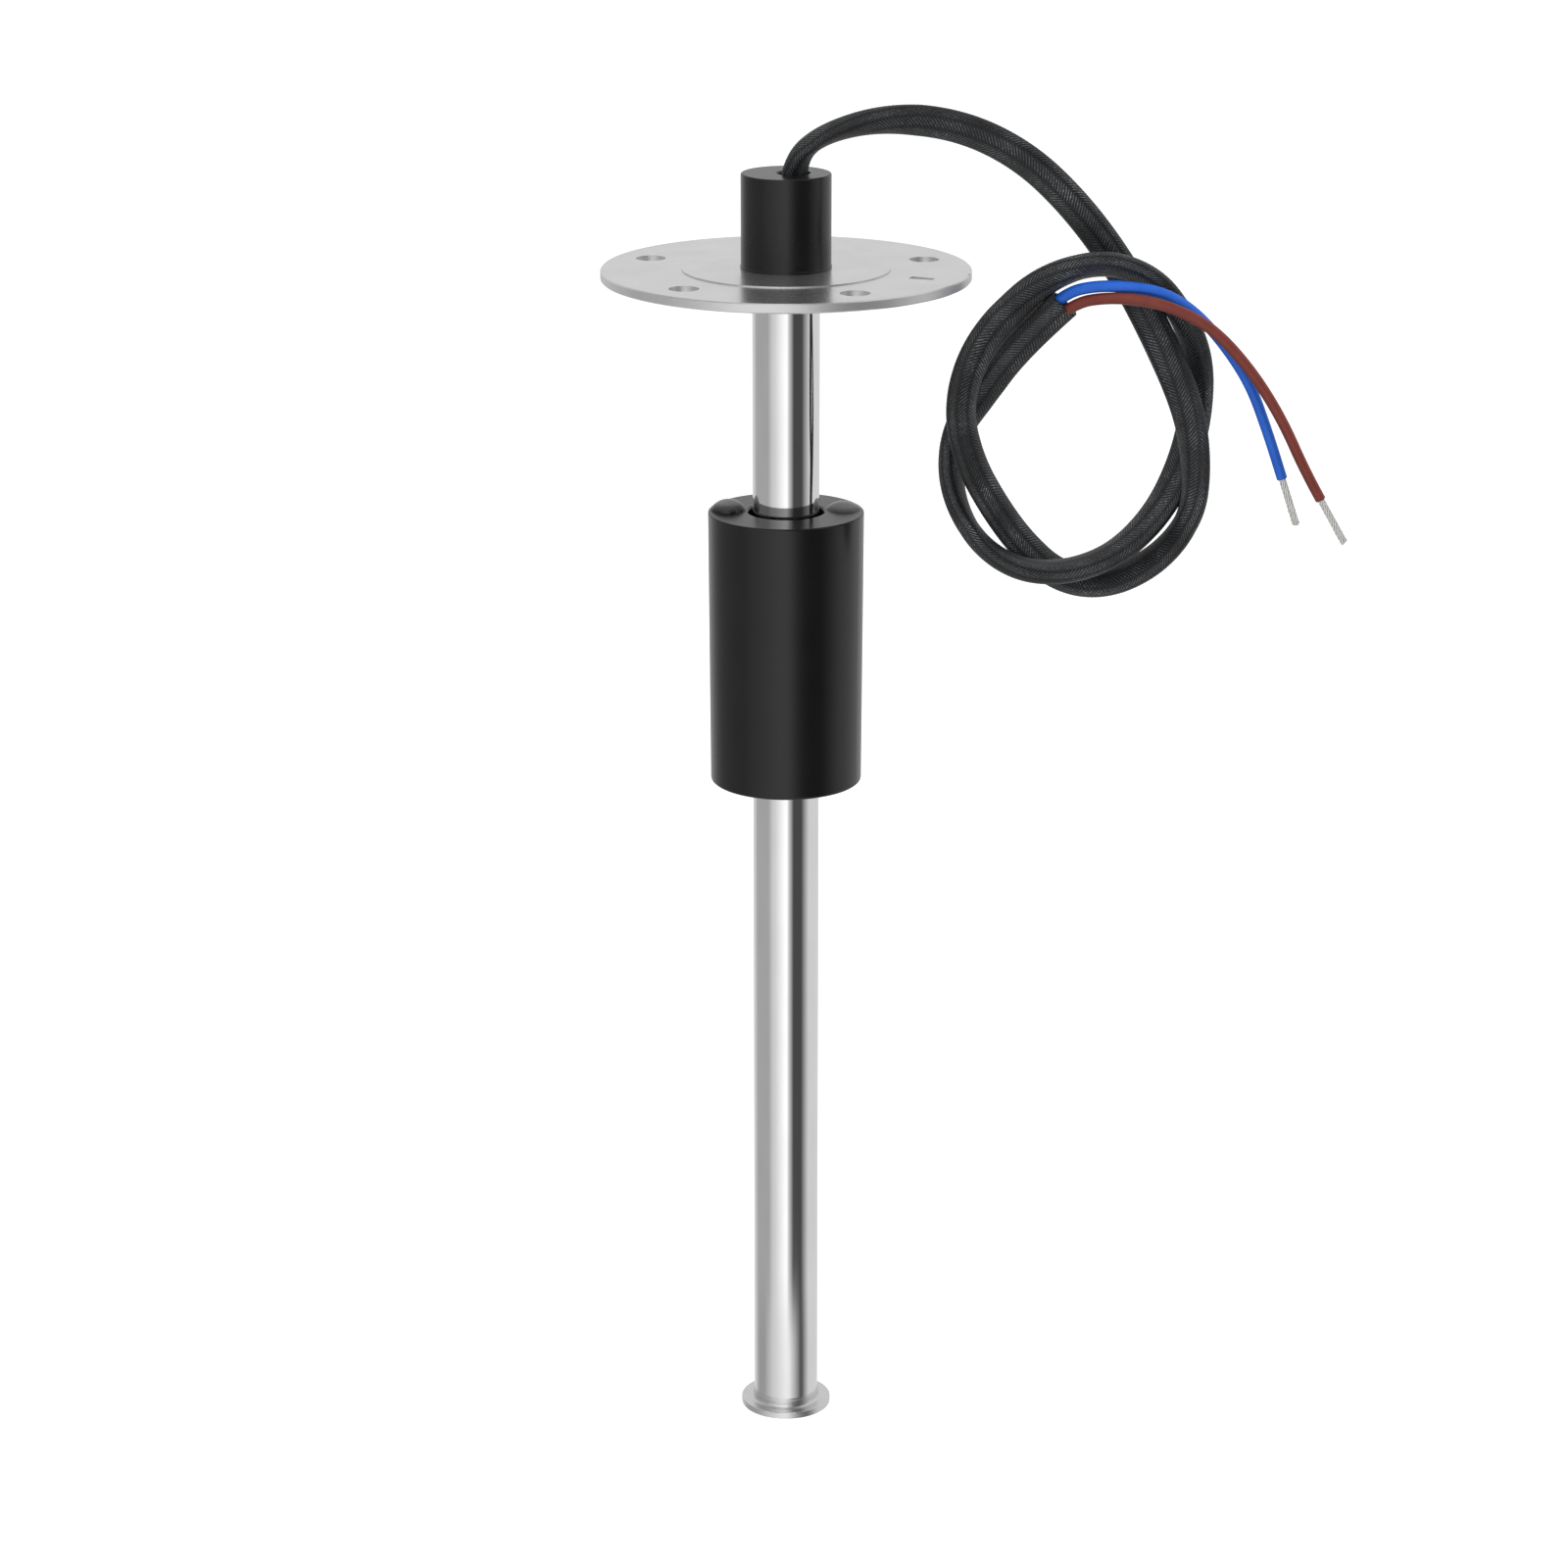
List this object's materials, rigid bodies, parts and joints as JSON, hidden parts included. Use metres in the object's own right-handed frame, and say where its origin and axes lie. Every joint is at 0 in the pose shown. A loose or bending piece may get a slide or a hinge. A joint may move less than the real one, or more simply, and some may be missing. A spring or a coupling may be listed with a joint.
{
  "type": "fuel level sender",
  "caption": "Straight-stem tank level sender: sliding magnetic float on a steel tube under a round bolted flange, with a sleeved two-wire lead.",
  "frame": {"origin": "centre of the flange's underside, which seats on the tank", "axes": "+Z along the stem, up out of the tank; +X to the flange's index mark, midway between the two widest-spaced holes"},
  "size_m": [0.1329, 0.0682, 0.2578],
  "materials": {
    "flange_steel": "satin",
    "tube_steel": "polished",
    "foot_steel": "satin",
    "cap_plastic": "satin",
    "potting_resin": "gloss",
    "board_laminate": "satin",
    "spacer_plastic": "matte",
    "float_foam": "satin",
    "seal_resin": "gloss",
    "magnet_metal": "plated",
    "reed_glass": "clear",
    "resistor_ceramic": "matte",
    "braid": "woven",
    "blue_insulation": "satin",
    "brown_insulation": "satin",
    "tinned_copper": "tinned"
  },
  "bodies": {
    "sender": {"board_lead_blue": "blue_insulation", "board_lead_brown": "brown_insulation", "board_spacer": "spacer_plastic", "cable_sleeve": "braid", "conductor_blue": "tinned_copper", "conductor_brown": "tinned_copper", "end_plug": "foot_steel", "flange_weld": "tube_steel", "mounting_flange": "flange_steel", "potting": "potting_resin", "reed_board": "board_laminate", "reed_switch_1": "reed_glass", "reed_switch_2": "reed_glass", "reed_switch_3": "reed_glass", "reed_switch_4": "reed_glass", "reed_switch_5": "reed_glass", "reed_switch_6": "reed_glass", "reed_switch_7": "reed_glass", "reed_switch_8": "reed_glass", "reed_switch_9": "reed_glass", "resistor_1": "resistor_ceramic", "resistor_10": "resistor_ceramic", "resistor_2": "resistor_ceramic", "resistor_3": "resistor_ceramic", "resistor_4": "resistor_ceramic", "resistor_5": "resistor_ceramic", "resistor_6": "resistor_ceramic", "resistor_7": "resistor_ceramic", "resistor_8": "resistor_ceramic", "resistor_9": "resistor_ceramic", "stem_tube": "tube_steel", "terminal_cap": "cap_plastic", "wire_blue": "blue_insulation", "wire_brown": "brown_insulation"},
    "float": {"float_body": "float_foam", "float_magnet_left": "magnet_metal", "float_magnet_right": "magnet_metal", "magnet_seal_left": "seal_resin", "magnet_seal_right": "seal_resin"}
  },
  "joints": [
    {"name": "float_slide", "type": "slide", "parent": "sender", "child": "float", "axis": [0, 0, 1], "range_m": [-0.1285, 0.0415]}
  ]
}
